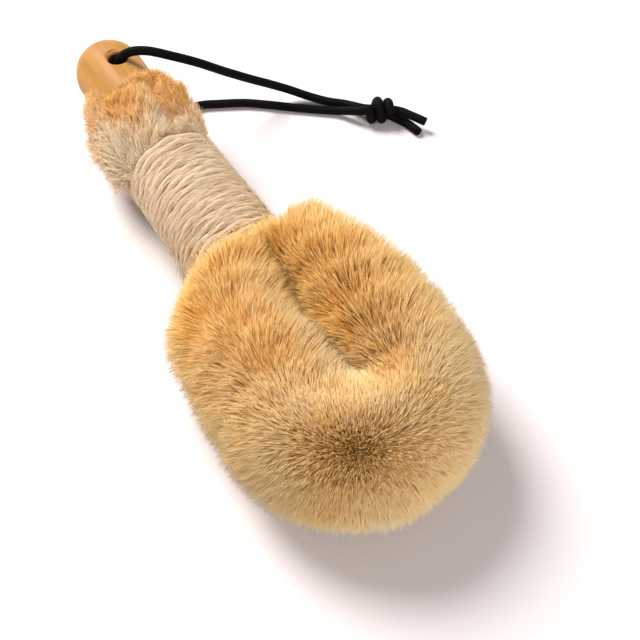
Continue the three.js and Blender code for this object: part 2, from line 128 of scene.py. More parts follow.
# Whorl at the front of the head: its direction from the rod, and the share and spread of its fibres
WHORL_DIRECTION = (-0.333, -0.555, 0.762)
WHORL_SHARE = {LEFT: 0.16, RIGHT: 0.0}
WHORL_LENGTH = 4.0
WHORL_WIDTH = 0.3
# radius of the painted shade round the whorl
WHORL_SHADE_RADIUS = 6.0
FAN = 0.35
WHORL_FAN = 0.65
SPLAY_RISE = 0.85
SPLAY_WIDTH = 0.5

# Fur's edge on the wrap, and pairs of distance below that edge and height over the twine
EDGE_ON_TOP = 3.3
EDGE_AT_SIDE = {LEFT: 3.6, RIGHT: 5.2}
EDGE_CLEARANCE = 0.1
ROUND_SHOULDER = [
    (0.0, 0.0), (2.0, 1.2), (4.0, 2.9), (8.0, 6.4), (12.0, 10.4), (16.0, 14.6), (18.0, 16.0), (22.0, 18.0),
    (45.0, 40.0),
]
BLUNT_SHOULDER = [
    (0.0, 0.0), (1.0, 3.0), (2.0, 9.0), (3.0, 13.0), (6.7, 14.0), (14.0, 18.0), (25.0, 24.0), (45.0, 40.0),
]
BLUNT_ANGLES = (0.56, 1.08)

# Legs under the twine, and tufts: pairs of distance along the handle and half-width
GRIP_RADIUS = 12.4
GRIP_FIBRES = 420
GRIP_STEPS = 7
GRIP_FIBRE_RADIUS = 0.42
WRAP_LENGTH = 48.6
TUFT_FIBRES = 12000
TUFT_PARTS = 3
TUFT_RADII = np.array([0.15, 0.15, 0.14, 0.13, 0.12, 0.11, 0.08])
TUFT_START = 48.9
TUFT_OUTLINE = {
    LEFT: [(49.0, 15.4), (51.7, 16.8), (55.9, 19.0), (61.5, 21.2), (66.3, 21.7), (72.9, 20.8),
           (78.0, 19.2), (84.1, 16.8), (89.9, 14.2), (95.9, 11.0)],
    RIGHT: [(49.0, 13.6), (51.0, 14.4), (57.0, 16.1), (64.0, 18.3), (73.0, 18.2), (80.0, 17.6),
            (84.0, 16.0), (90.0, 12.0)],
}
TUFT_SIDE_END = {LEFT: 95.0, RIGHT: 91.0}
TUFT_TOP_END = {LEFT: 77.0, RIGHT: 81.5}
TUFT_ROUNDING = {LEFT: 5.0, RIGHT: 2.0}
TUFT_LEAN = (-0.3, (0.0, 48.0, -0.8), (52.0, 70.0, 0.9))
TUFT_FLOOR = (0.4, 1.5)
TUFT_CLEARANCE = 0.4

# Twine: a loose twist of two plies, wound round the grip
TWINE_OUTER = 15.6
TWINE_TURNS = 18
TURN_STEPS = 80
TURN_RADIUS = 14.0
TWINE_TAPER = 0.75
PLY_RADIUS = 0.86
PLY_OFFSET = 0.46
TWIST_LENGTH = 19.0
FIRST_Y = 1.2
LAST_Y = WRAP_LENGTH - 1.3
FUZZ_FIBRES = 2600
FUZZ_RADII = np.array([0.08, 0.08, 0.07, 0.05])
FRAY_FIBRES = 90
FRAY_RADII = np.array([0.11, 0.11, 0.10, 0.07])
FRAY_ANGLE = math.radians(172.0)
FRAY_Y = 13.5

# Hanging cord: offsets from the axis of the hole, and heights from the floor
CORD_DIAMETER = 3.0
CORD_RADIUS = CORD_DIAMETER / 2
CORD_STEPS = 120
TAIL_STEPS = 16
CORD_SIDES = 16
UPPER_ROUTE = [
    (0.0, 0.0, 17.0), (-0.6, 0.35, 22.5), (-0.5, 0.3, 28.2), (0.9, -0.55, 32.2), (4.0, -2.4, 34.45),
    (8.4, -4.9, 34.7), (16.2, -7.45, 31.35), (23.9, -8.8, 26.95), (32.6, -9.6, 20.9), (41.7, -10.2, 14.8),
    (49.5, -10.0, 9.5), (57.0, -11.0, 4.8), (63.1, -15.9, 2.4), (67.4, -20.7, 1.9), (71.6, -25.4, 2.2),
    (74.4, -32.15, 3.8),
]
LOWER_ROUTE = [
    (0.0, 0.0, 17.0), (0.3, 0.05, 10.2), (2.3, 0.2, 5.2), (6.0, 0.5, 2.6), (11.0, 0.9, 1.8),
    (18.7, 1.1, 1.7), (27.2, 1.0, 1.7), (33.8, -1.9, 1.7), (41.3, -5.8, 1.7), (47.9, -10.9, 1.7),
    (54.2, -16.3, 1.7), (61.2, -22.0, 1.7), (67.4, -27.4, 2.2), (72.35, -35.15, 5.25),
]
UPPER_TAIL = [(84.0, -41.65, 4.95), (86.3, -45.8, 4.7), (89.0, -50.2, 4.0)]
LOWER_TAIL = [(83.65, -42.3, 1.65), (84.95, -45.7, 1.65), (85.65, -51.1, 1.65)]

# Knot, in its own directions along, across and up from the point where the strands enter it
KNOT_OFFSET = np.array([74.2, -34.6, 4.75])
KNOT_HEADING = math.radians(-34.5)
KNOT_TURNS = 2.1
KNOT_FIRST_TURN = 0.35
KNOT_START = 1.2
KNOT_LENGTH = 7.6
KNOT_RADIUS = 3.4
KNOT_TAPER = 0.6
KNOT_FLATNESS = 0.95
KNOT_STEPS = 90
BIND_RADIUS = 1.65
KNOT_SIDES = 14
THROUGH_STEPS = 48
THROUGH_RADIUS = CORD_RADIUS - 0.02
THROUGH_UPPER = [(3.0, 1.0, -0.3), (8.0, 0.3, 0.3)]
THROUGH_LOWER = [(3.0, -1.0, 0.4), (8.0, -0.2, -1.8)]

# Camera, floor and lamps, in metres and watts; a lamp's place runs right, away and up in the view
CAMERA_AZIMUTH = math.radians(-30.96)
CAMERA_ELEVATION = math.radians(49.64)
CAMERA_DISTANCE = 0.2687
CAMERA_TARGET = Vector((0.00688, -0.03845, 0.0191))
CAMERA_LENS = 56.25
SENSOR_WIDTH = 36.0
FLOOR_HALF = 6.0
FLOOR_COLOUR = (0.95, 0.89, 0.905, 1.0)
FLOOR_PLAIN = 0.22
FLOOR_WHITE = 0.50
AMBIENT_COLOUR = (1.0, 0.965, 0.975, 1.0)
AMBIENT_STRENGTH = 0.22
KEY_LAMP = {
    "place": (-0.54, 0.495, 0.9), "aim": (0.0, -0.02, 0.0), "size": 0.7, "power": 18.5,
    "colour": (1.0, 0.98, 0.95),
}
FILL_LAMP = {"place": (0.45, -0.76, 0.45), "aim": (0.0, -0.03, 0.02), "size": 0.5, "power": 4.2}


# Frames and curves

def rotation(axis, angle):
    return np.array(Matrix.Rotation(angle, 3, axis))


HANDLE_TURN = rotation("Z", -HANDLE_YAW) @ rotation("X", HANDLE_TILT)


def on_handle(points):
    """Points given along the handle, placed on its tilted and turned axis."""
    points = np.asarray(points, float)
    placed = points.reshape(-1, 3) @ HANDLE_TURN.T + HANDLE_HEIGHT * UP
    return placed.reshape(points.shape)


HOLE_CENTRE = on_handle([HOLE_SHIFT, HOLE_DISTANCE, 0.0])
HOLE = HOLE_CENTRE * [1.0, 1.0, 0.0]


def smoothstep(value, low, high):
    share = np.clip((value - low) / (high - low), 0.0, 1.0)
    return share * share * (3.0 - 2.0 * share)


def stepped(place, start, *changes):
    """Start value with smooth changes, each given by its first place, last place and amount."""
    value = start
    for first, last, amount in changes:
        value = value + amount * smoothstep(place, first, last)
    return value


def unit(vector):
    return vector / np.maximum(np.linalg.norm(vector, axis=-1, keepdims=True), 1e-12)


def along_pairs(place, pairs):
    """Value at a place on the straight lines between pairs of place and value."""
    return np.interp(place, *zip(*pairs))


def to_frame(points):
    return (points + FRAME_SHIFT) * MM


def leg_point(side, y):
    side = np.broadcast_to(side, y.shape)
    zero = np.zeros_like(y)
    gripped = on_handle(np.stack([side * LEG_OFFSET, y, zero], -1))
    spread = np.stack([side * BEND_RADIUS, y, zero + HEAD_HEIGHT], -1)
    share = smoothstep(-y, 0.0, NECK_LENGTH)[..., None]
    return gripped * (1.0 - share) + spread * share


def rod_point(side, distance):
    """Point of the rod's axis, at a distance below the wrap along one leg and into the bend."""
    distance = np.asarray(distance, float)
    leg = leg_point(side, -np.minimum(distance, LEG_LENGTH))
    angle = np.maximum(distance - LEG_LENGTH, 0.0) / BEND_RADIUS
    x = side * BEND_RADIUS * np.cos(angle)
    y = -LEG_LENGTH - BEND_RADIUS * np.sin(angle)
    bend = np.stack([x, y, np.full_like(x, HEAD_HEIGHT)], -1)
    return np.where((distance > LEG_LENGTH)[..., None], bend, leg)


def rod_frame(side, distance):
    """Axis point, direction, sideways direction away from the other leg, and upward direction."""
    centre = rod_point(side, distance)
    along = unit(rod_point(side, distance + 0.05) - rod_point(side, distance - 0.05))
    outward = unit(np.cross(along, UP)) * -side[..., None]
    upward = unit(np.cross(outward, along))
    upward = upward * np.sign(upward[..., 2:3])
    return centre, along, outward, upward


def run_along(line):
    """Distance along a line of points, at each of them."""
    return np.concatenate([[0.0], np.cumsum(np.linalg.norm(np.diff(line, axis=0), axis=1))])


def between(where, start, end, first, second):
    """Value between two values, at a place between theirs."""
    return ((end - where) * first + (where - start) * second) / (end - start)


def catmull_rom(points, steps):
    """Centripetal curve through the points, sampled evenly along its length."""
    points = np.vstack([2 * points[0] - points[1], points, 2 * points[-1] - points[-2]])
    samples = []
    for i in range(1, len(points) - 2):
        knots = [0.0]
        for j in range(3):
            gap = np.linalg.norm(points[i + j] - points[i + j - 1])
            knots.append(knots[-1] + max(gap ** 0.5, 1e-6))
        where = np.linspace(knots[1], knots[2], 40, endpoint=i == len(points) - 3)[:, None]
        near = [between(where, knots[j], knots[j + 1], points[i + j - 1], points[i + j]) for j in range(3)]
        wide = [between(where, knots[j], knots[j + 2], near[j], near[j + 1]) for j in range(2)]
        samples.append(between(where, knots[1], knots[2], wide[0], wide[1]))
    fine = np.vstack(samples)
    run = run_along(fine)
    even = np.linspace(0.0, run[-1], steps + 1)
    return np.stack([np.interp(even, run, fine[:, k]) for k in range(3)], -1)


def noise(points, size, seed):
    """Smooth value noise from -1 to 1 at points, with features of a given size in mm."""
    table = np.random.default_rng(seed).random((NOISE_CELLS,) * 3) * 2 - 1
    cells = points / size + NOISE_SHIFT
    low = np.floor(cells).astype(int)
    part = cells - low
    part = part * part * (3 - 2 * part)
    total = np.zeros(cells.shape[:-1])
    for corner in range(8):
        bit = np.array([corner & 1, corner >> 1 & 1, corner >> 2 & 1])
        weight = np.prod(np.where(bit, part, 1 - part), -1)
        index = (low + bit) % NOISE_CELLS
        total += weight * table[index[..., 0], index[..., 1], index[..., 2]]
    return total


def noise_vector(points, size, seed):
    return np.stack([noise(points, size, seed + k) for k in range(3)], -1)


def soft_floor(value, least, soft):
    """Value kept above a least one, closing in on it over a soft distance."""
    return np.where(value < least + soft, least + soft * np.exp((value - least - soft) / soft), value)


# Meshes

def new_mesh(name, points, faces, face_uv=None):
    """Object from arrays: points in the frame in metres, faces as rows of four corners, -1 for none."""
    faces = np.asarray(faces, int)
    mesh = bpy.data.meshes.new(name)
    mesh.vertices.add(len(points))
    mesh.vertices.foreach_set("co", np.asarray(points, np.float32).ravel())
    used = faces >= 0
    corners = faces[used]
    counts = used.sum(1)
    mesh.loops.add(len(corners))
    mesh.loops.foreach_set("vertex_index", corners.astype(np.int32))
    mesh.polygons.add(len(faces))
    starts = np.concatenate([[0], np.cumsum(counts)[:-1]])
    mesh.polygons.foreach_set("loop_start", starts.astype(np.int32))
    if face_uv is not None:
        layer = mesh.uv_layers.new(name=MAP_NAME)
        layer.data.foreach_set("uv", np.asarray(face_uv, np.float32)[used].ravel())
    mesh.update(calc_edges=True)
    mesh.validate()
    mesh.shade_smooth()
    obj = bpy.data.objects.new(name, mesh)
    bpy.context.collection.objects.link(obj)
    return obj


def strand_faces(rings):
    """Faces of one strand, which ends in a point, and their map: v runs from its root to its tip."""
    sides = STRAND_SIDES
    faces = []
    maps = []
    for k in range(rings - 1):
        v0, v1 = k / (rings - 1), (k + 1) / (rings - 1)
        for i in range(sides):
            j = (i + 1) % sides
            u0, u1 = (i / sides - 0.5) * MAP_WIDTH, ((i + 1) / sides - 0.5) * MAP_WIDTH
            if k < rings - 2:
                faces.append([k * sides + i, k * sides + j, (k + 1) * sides + j, (k + 1) * sides + i])
                maps.append([[u0, v0], [u1, v0], [u1, v1], [u0, v1]])
            else:
                faces.append([k * sides + i, k * sides + j, (rings - 1) * sides, -1])
                maps.append([[u0, v0], [u1, v0], [(u0 + u1) / 2, v1], [0.0, 0.0]])
    return np.array(faces), np.array(maps)


def strands(name, lines, radii, tone):
    """Tapered fibres: lines is N x K points in mm, radii N x (K - 1) or K - 1, each fibre ends in a point.
    tone, 0 to 1, is kept as u of the fibre's map."""
    count, rings = lines.shape[:2]
    radii = np.broadcast_to(radii, (count, rings - 1))
    direction = unit(lines[:, -1] - lines[:, 0])
    reference = np.where(np.abs(direction[:, 2:3]) > 0.8, [[1.0, 0.0, 0.0]], UP)
    across = unit(np.cross(direction, reference))
    other = np.cross(direction, across)
    turn = rng.random(count) * math.tau
    points = np.empty((count, (rings - 1) * STRAND_SIDES + 1, 3))
    for k in range(rings - 1):
        for i in range(STRAND_SIDES):
            angle = turn + math.tau * i / STRAND_SIDES
            offset = np.cos(angle)[:, None] * across + np.sin(angle)[:, None] * other
            points[:, k * STRAND_SIDES + i] = lines[:, k] + offset * radii[:, k:k + 1]
    points[:, -1] = lines[:, -1]
    faces, maps = strand_faces(rings)
    first = np.arange(count) * points.shape[1]
    every = faces[None] + (faces >= 0)[None] * first[:, None, None]
    uv = maps[None] + np.zeros((count, 1, 1, 1))
    uv[..., 0] += np.clip(tone, 0.01, 0.99)[:, None, None]
    return new_mesh(name, to_frame(points.reshape(-1, 3)), every.reshape(-1, 4), uv.reshape(-1, 4, 2))


def tube(name, line, radius, sides, map_length):
    """Round closed tube along a line of points in mm; v of its map runs along it in units of map_length."""
    count = len(line)
    radius = np.broadcast_to(radius, count)
    along = unit(np.gradient(line, axis=0))
    across = np.empty_like(line)
    start = UP if abs(along[0, 2]) < 0.8 else np.array([1.0, 0.0, 0.0])
    across[0] = unit(np.cross(along[0], start))
    for i in range(1, count):
        across[i] = unit(across[i - 1] - along[i] * np.dot(across[i - 1], along[i]))
    other = np.cross(along, across)
    points = []
    for i in range(sides):
        angle = math.tau * i / sides
        points.append(line + (math.cos(angle) * across + math.sin(angle) * other) * radius[:, None])
    points = np.stack(points, 1).reshape(-1, 3)
    points = np.vstack([points, line[:1], line[-1:]])
    ring = np.arange(count - 1)[:, None] * sides
    i = np.arange(sides)[None]
    j = (i + 1) % sides
    faces = np.stack([ring + i, ring + j, ring + sides + j, ring + sides + i], -1).reshape(-1, 4)
    v = run_along(line) / map_length
    u0 = np.broadcast_to(i / sides, (count - 1, sides))
    u1 = u0 + 1.0 / sides
    v0 = np.broadcast_to(v[:-1, None], u0.shape)
    v1 = np.broadcast_to(v[1:, None], u0.shape)
    corners = ((u0, v0), (u1, v0), (u1, v1), (u0, v1))
    uv = np.stack([np.stack(corner, -1) for corner in corners], -2).reshape(-1, 4, 2)
    hub, far = len(points) - 2, len(points) - 1
    last = (count - 1) * sides
    ends = [[hub, (k + 1) % sides, k, -1] for k in range(sides)]
    ends += [[far, last + k, last + (k + 1) % sides, -1] for k in range(sides)]
    faces = np.vstack([faces, ends])
    uv = np.vstack([uv, np.tile(uv[:1], (len(ends), 1, 1))])
    return new_mesh(name, to_frame(points), faces, uv)


def lathe(name, profile, sides, place):
    """Surface of revolution about y of a profile of (radius, y) points, from axis to axis."""
    profile = np.asarray(profile, float)
    inner = profile[1:-1]
    angle = math.tau * np.arange(sides) / sides
    ring = np.stack([np.cos(angle), np.zeros(sides), np.sin(angle)], -1)
    points = [radius * ring + [0.0, y, 0.0] for radius, y in inner]
    points = np.vstack(points + [[[0.0, profile[0, 1], 0.0]], [[0.0, profile[-1, 1], 0.0]]])
    faces = []
    for k in range(len(inner) - 1):
        for i in range(sides):
            j = (i + 1) % sides
            faces.append([k * sides + i, (k + 1) * sides + i, (k + 1) * sides + j, k * sides + j])
    first, last = len(points) - 2, len(points) - 1
    top = (len(inner) - 1) * sides
    for i in range(sides):
        j = (i + 1) % sides
        faces.append([first, i, j, -1])
        faces.append([last, top + j, top + i, -1])
    return new_mesh(name, to_frame(place(points)), faces)


# Materials

def material(name, roughness, metallic=0.0, **values):
    mat = bpy.data.materials.new(name)
    mat.use_nodes = True
    shader = mat.node_tree.nodes["Principled BSDF"]
    shader.inputs["Roughness"].default_value = roughness
    shader.inputs["Metallic"].default_value = metallic
    for key, value in values.items():
        shader.inputs[key.replace("_", " ")].default_value = value
    return mat, mat.node_tree.nodes, mat.node_tree.links, shader


def node(nodes, kind, **values):
    made = nodes.new("ShaderNode" + kind)
    for key, value in values.items():
        if hasattr(made, key):
            setattr(made, key, value)
        else:
            made.inputs[key.replace("_", " ")].default_value = value
    return made


def ramp(nodes, links, value, stops):
    """Colour that a value picks between stops of position and colour."""
    made = node(nodes, "ValToRGB")
    elements = made.color_ramp.elements
    elements[0].position = stops[0][0]
    elements[0].color = (*stops[0][1], 1.0)
    elements[1].position = stops[-1][0]
    elements[1].color = (*stops[-1][1], 1.0)
    for position, colour in stops[1:-1]:
        elements.new(position).color = (*colour, 1.0)
    links.new(value, made.inputs["Fac"])
    return made.outputs["Color"]


def mix_colour(nodes, links, factor, low, high, blend="MIX"):
    made = node(nodes, "Mix")
    made.data_type = "RGBA"
    made.blend_type = blend
    for socket, value in (("Factor", factor), ("A", low), ("B", high)):
        if isinstance(value, bpy.types.NodeSocket):
            links.new(value, made.inputs[socket])
        else:
            made.inputs[socket].default_value = value
    return made.outputs["Result"]


def object_noise(nodes, links, scale, detail):
    where = node(nodes, "TexCoord")
    made = node(nodes, "TexNoise", Scale=scale, Detail=detail)
    links.new(where.outputs["Object"], made.inputs["Vector"])
    return made.outputs["Fac"]


def stretched_noise(nodes, links, where, scale, **values):
    stretch = node(nodes, "Mapping")
    stretch.inputs["Scale"].default_value = scale
    links.new(where, stretch.inputs["Vector"])
    made = node(nodes, "TexNoise", Scale=1.0, **values)
    links.new(stretch.outputs["Vector"], made.inputs["Vector"])
    return made.outputs["Fac"]


def add_bump(nodes, links, shader, height, strength, distance):
    bump = node(nodes, "Bump", Strength=strength, Distance=distance)
    links.new(height, bump.inputs["Height"])
    links.new(bump.outputs["Normal"], shader.inputs["Normal"])


def fibre_material(name, warm, pale):
    """Fibre coloured from root to tip by v of its map, between a warm and a pale tone by u."""
    mat, nodes, links, shader = material(name, 0.6, Specular_IOR_Level=0.2)
    uv = node(nodes, "UVMap", uv_map=MAP_NAME)
    split = node(nodes, "SeparateXYZ")
    links.new(uv.outputs["UV"], split.inputs["Vector"])
    warm_colour = ramp(nodes, links, split.outputs["Y"], warm)
    pale_colour = ramp(nodes, links, split.outputs["Y"], pale)
    colour = mix_colour(nodes, links, split.outputs["X"], warm_colour, pale_colour)
    links.new(colour, shader.inputs["Base Color"])
    grain = object_noise(nodes, links, 900.0, 2.0)
    rough = node(nodes, "MapRange", From_Min=0.3, From_Max=0.7, To_Min=0.5, To_Max=0.75)
    links.new(grain, rough.inputs["Value"])
    links.new(rough.outputs["Result"], shader.inputs["Roughness"])
    return mat


def paint_hole_shade(nodes, links, where, colour):
    """Colour of the wood, with painted shade: dark brown on the wall of the hole, where it lies in shadow.
    """
    axis = to_frame(HOLE)
    shift = node(nodes, "Mapping")
    shift.inputs["Location"].default_value = (-axis[0], -axis[1], 0.0)
    links.new(where, shift.inputs["Vector"])
    flat = node(nodes, "VectorMath", operation="MULTIPLY")
    flat.inputs[1].default_value = (1.0, 1.0, 0.0)
    links.new(shift.outputs["Vector"], flat.inputs[0])
    far = node(nodes, "VectorMath", operation="LENGTH")
    links.new(flat.outputs["Vector"], far.inputs[0])
    full_shade, plain = [(HOLE_RADIUS + rim) * MM for rim in HOLE_SHADE_RIM]
    shade_fade = node(nodes, "MapRange", From_Min=full_shade, From_Max=plain)
    links.new(far.outputs["Value"], shade_fade.inputs["Value"])
    # painted shade: near-black brown on the hole's wall, fading out away from its axis
    return mix_colour(nodes, links, shade_fade.outputs["Result"], (0.03, 0.014, 0.006, 1.0), colour)


def wood_material():
    mat, nodes, links, shader = material("handle_wood", 0.5, Specular_IOR_Level=0.25)
    where = node(nodes, "TexCoord").outputs["Object"]
    grain = stretched_noise(nodes, links, where, (260.0, 14.0, 260.0),
                            Detail=6.0, Roughness=0.6, Distortion=0.6)
    bands = stretched_noise(nodes, links, where, (60.0, 6.0, 60.0), Detail=3.0, Distortion=0.4)
    tones = [(0.3, (0.48, 0.222, 0.047)), (0.5, (0.57, 0.285, 0.067)), (0.7, (0.63, 0.34, 0.09))]
    tone = ramp(nodes, links, bands, tones)
    lines = ramp(nodes, links, grain, [(0.38, (0.72, 0.60, 0.48)), (0.55, (1.0, 1.0, 1.0))])
    colour = mix_colour(nodes, links, 0.55, tone, lines, "MULTIPLY")
    # the wall of the hole gets painted shade
    links.new(paint_hole_shade(nodes, links, where, colour), shader.inputs["Base Color"])
    add_bump(nodes, links, shader, grain, 0.12, 0.0003)
    rough = node(nodes, "MapRange", To_Min=0.44, To_Max=0.60)
    links.new(grain, rough.inputs["Value"])
    links.new(rough.outputs["Result"], shader.inputs["Roughness"])
    return mat


def twine_material():
    mat, nodes, links, shader = material("twine", 0.7, Specular_IOR_Level=0.25)
    uv = node(nodes, "UVMap", uv_map=MAP_NAME)
    fine = stretched_noise(nodes, links, uv.outputs["UV"], (14.0, 1.6, 1.0), Detail=4.0, Roughness=0.6)
    patches = object_noise(nodes, links, 90.0, 3.0)
    tones = [(0.3, (0.66, 0.46, 0.28)), (0.5, (0.79, 0.60, 0.41)), (0.7, (0.88, 0.73, 0.56))]
    tone = ramp(nodes, links, fine, tones)
    wide = ramp(nodes, links, patches, [(0.35, (0.86, 0.80, 0.72)), (0.62, (1.0, 1.0, 1.0))])
    colour = mix_colour(nodes, links, 1.0, tone, wide, "MULTIPLY")
    links.new(colour, shader.inputs["Base Color"])
    add_bump(nodes, links, shader, fine, 0.6, 0.0003)
    return mat


def cord_material():
    mat, nodes, links, shader = material("cord", 0.6, Specular_IOR_Level=0.04)
    uv = node(nodes, "UVMap", uv_map=MAP_NAME)
    weave = stretched_noise(nodes, links, uv.outputs["UV"], (10.0, 8.0, 1.0), Detail=3.0)
    tone = ramp(nodes, links, weave, [(0.35, (0.002, 0.002, 0.0025)), (0.7, (0.006, 0.0055, 0.006))])
    links.new(tone, shader.inputs["Base Color"])
    add_bump(nodes, links, shader, weave, 0.35, 0.0002)
    return mat


def wire_material():
    mat, nodes, links, shader = material("wire", 0.4, metallic=1.0)
    spots = object_noise(nodes, links, 400.0, 3.0)
    tone = ramp(nodes, links, spots, [(0.3, (0.45, 0.45, 0.44)), (0.7, (0.66, 0.66, 0.65))])
    links.new(tone, shader.inputs["Base Color"])
    return mat


head_fibre = fibre_material(
    "head_fibre",
    [(0.0, (0.97, 0.52, 0.14)), (0.5, (0.99, 0.58, 0.15)), (0.85, (0.99, 0.63, 0.19)),
     (1.0, (0.99, 0.70, 0.27))],
    [(0.0, (0.97, 0.68, 0.36)), (0.5, (0.99, 0.77, 0.46)), (0.85, (0.99, 0.84, 0.57)),
     (1.0, (0.99, 0.89, 0.68))],
)
tuft_fibre = fibre_material(
    "tuft_fibre",
    [(0.0, (0.58, 0.24, 0.04)), (0.5, (0.77, 0.38, 0.09)), (1.0, (0.86, 0.48, 0.14))],
    [(0.0, (0.86, 0.63, 0.37)), (0.5, (0.97, 0.82, 0.58)), (1.0, (0.99, 0.90, 0.72))],
)
twine_fibre = fibre_material(
    "twine_fibre",
    [(0.0, (0.82, 0.62, 0.38)), (1.0, (0.88, 0.70, 0.46))],
    [(0.0, (0.93, 0.80, 0.60)), (1.0, (0.97, 0.90, 0.76))],
)
wood = wood_material()
twine = twine_material()
cord = cord_material()
wire = wire_material()


def dress(obj, mat, body, slot_name, *replaced):
    obj.data.materials.clear()
    obj.data.materials.append(mat)
    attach(obj, body)
    if replaced:
        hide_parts(*replaced)
    return obj


def fibre_parts(name, parts, lines, radii, tone, mat, replaced):
    """Fibres shared out evenly over numbered pieces."""
    count = len(lines)
    for part in range(parts):
        pick = slice(part * count // parts, (part + 1) * count // parts)
        made = strands(f"{name}_{part + 1}", lines[pick], radii[pick], tone[pick])
        dress(made, mat, "brush", "sisal_fibre", replaced)


# Camera, at the photograph's viewing angle

level = math.cos(CAMERA_ELEVATION)
back = Vector((
    math.sin(CAMERA_AZIMUTH) * level,
    -math.cos(CAMERA_AZIMUTH) * level,
    math.sin(CAMERA_ELEVATION),
))
camera = bpy.data.objects.new("camera", bpy.data.cameras.new("camera"))
camera.data.sensor_width = SENSOR_WIDTH
camera.data.lens = CAMERA_LENS
camera.data.clip_start = 0.01
camera.location = CAMERA_TARGET + back * CAMERA_DISTANCE
camera.rotation_mode = "QUATERNION"
camera.rotation_quaternion = (-back).to_track_quat("-Z", "Y")
bpy.context.collection.objects.link(camera)
bpy.context.scene.camera = camera


# Hanging cord

def from_hole(route):
    return np.asarray(route) + HOLE


def cord_line(route, steps):
    return catmull_rom(from_hole(route), steps)


def cord_piece(name, line, *replaced, radius=CORD_RADIUS, sides=CORD_SIDES):
    return dress(tube(name, line, radius, sides, CORD_DIAMETER), cord, "loop", "cord", *replaced)


upper_line = cord_line(UPPER_ROUTE, CORD_STEPS)
lower_line = cord_line(LOWER_ROUTE, CORD_STEPS)
upper_end_line = cord_line(UPPER_TAIL, TAIL_STEPS)
lower_end_line = cord_line(LOWER_TAIL, TAIL_STEPS)
upper_cord = cord_piece("cord_upper", upper_line, "hanging_cord")
lower_cord = cord_piece("cord_lower", lower_line, "hanging_cord")
tail_upper = cord_piece("cord_end_upper", upper_end_line, "cord_tail_upper")
tail_lower = cord_piece("cord_end_lower", lower_end_line, "cord_tail_lower")


# Knot: the two strands pass through, bound by two turns of cord

knot_along = np.array([math.cos(KNOT_HEADING), math.sin(KNOT_HEADING), 0.0])
knot_across = np.array([-math.sin(KNOT_HEADING), math.cos(KNOT_HEADING), 0.0])


def knot_line(points):
    points = np.asarray(points, float)
    start = KNOT_OFFSET + HOLE
    return start + points[:, :1] * knot_along + points[:, 1:2] * knot_across + points[:, 2:] * UP


def bind_line():
    """Turns that bind the strands, wound with a shrinking radius."""
    share = np.linspace(0.0, 1.0, KNOT_STEPS)
    swing = math.tau * (KNOT_FIRST_TURN + KNOT_TURNS * share)
    radius = KNOT_RADIUS - KNOT_TAPER * share
    forward = KNOT_START + KNOT_LENGTH * share
    height = radius * np.sin(swing) * KNOT_FLATNESS
    return knot_line(np.stack([forward, radius * np.cos(swing), height], -1))


def through_line(route, inside, tail):
    points = np.vstack([from_hole(route[-2:]), knot_line(inside), from_hole(tail[:2])])
    return catmull_rom(points, THROUGH_STEPS)


upper_through = through_line(UPPER_ROUTE, THROUGH_UPPER, UPPER_TAIL)
lower_through = through_line(LOWER_ROUTE, THROUGH_LOWER, LOWER_TAIL)
knot_bind = cord_piece("knot_bind", bind_line(), "cord_knot", radius=BIND_RADIUS, sides=KNOT_SIDES)
knot_a = cord_piece("knot_through_a", upper_through, radius=THROUGH_RADIUS, sides=KNOT_SIDES)
knot_b = cord_piece("knot_through_b", lower_through, radius=THROUGH_RADIUS, sides=KNOT_SIDES)


# Wooden handle

def handle_radius(y):
    """Radius of the dowel, its shoulder and the thick end, without the rounded tip."""
    return DOWEL_RADIUS + (END_RADIUS - DOWEL_RADIUS) * smoothstep(y, SHOULDER_START, END_START)


def handle_profile():
    points = [
        (0.0, DOWEL_START),
        (DOWEL_RADIUS - DOWEL_EDGE, DOWEL_START),
        (DOWEL_RADIUS - DOWEL_EDGE / 4, DOWEL_START + DOWEL_EDGE / 4),
        (DOWEL_RADIUS, DOWEL_START + DOWEL_EDGE),
    ]
    for y in np.linspace(SHOULDER_START, END_START, 24):
        points.append((float(handle_radius(y)), y))
    for angle in np.linspace(0.0, math.pi / 2, 40, endpoint=False):
        points.append((END_RADIUS * math.cos(angle), HANDLE_TIP - END_RADIUS * (1 - math.sin(angle))))
    points.append((0.0, HANDLE_TIP))
    return points


def hole_profile():
    """Hole with rounded edges, long enough to pass right through."""
    half, outer = END_RADIUS - HOLE_ROUNDING, 2 * END_RADIUS
    curve = [(HOLE_RADIUS + HOLE_ROUNDING * (1 - math.cos(angle)), half + HOLE_ROUNDING * math.sin(angle))
             for angle in np.linspace(0.0, math.pi / 2 * 0.9, 8)]
    upper = curve + [(HOLE_RADIUS + HOLE_ROUNDING + 3.0, outer)]
    lower = [(radius, -y) for radius, y in reversed(upper)]
    return [(0.0, -outer)] + lower + upper + [(0.0, outer)]


def upright_at_hole(points):
    return points @ rotation("X", math.pi / 2).T + HOLE_CENTRE


handle = lathe("handle", handle_profile(), 128, on_handle)
cutter = lathe("hole_cutter", hole_profile(), 64, upright_at_hole)
boolean = handle.modifiers.new("hole", "BOOLEAN")
boolean.operation = "DIFFERENCE"
boolean.solver = "EXACT"
boolean.object = cutter
evaluated = handle.evaluated_get(bpy.context.evaluated_depsgraph_get())
drilled = bpy.data.meshes.new_from_object(evaluated)
handle.modifiers.clear()
handle.data = drilled
bpy.data.objects.remove(cutter)
drilled.shade_smooth()
drilled.set_sharp_from_angle(angle=SHARP_ANGLE)
dress(handle, wood, "brush", "handle_wood", "wood_handle")
for name in ("wire_strand_a", "wire_strand_b"):
    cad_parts[name].data.materials.clear()
    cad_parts[name].data.materials.append(wire)


# Fibre of the head

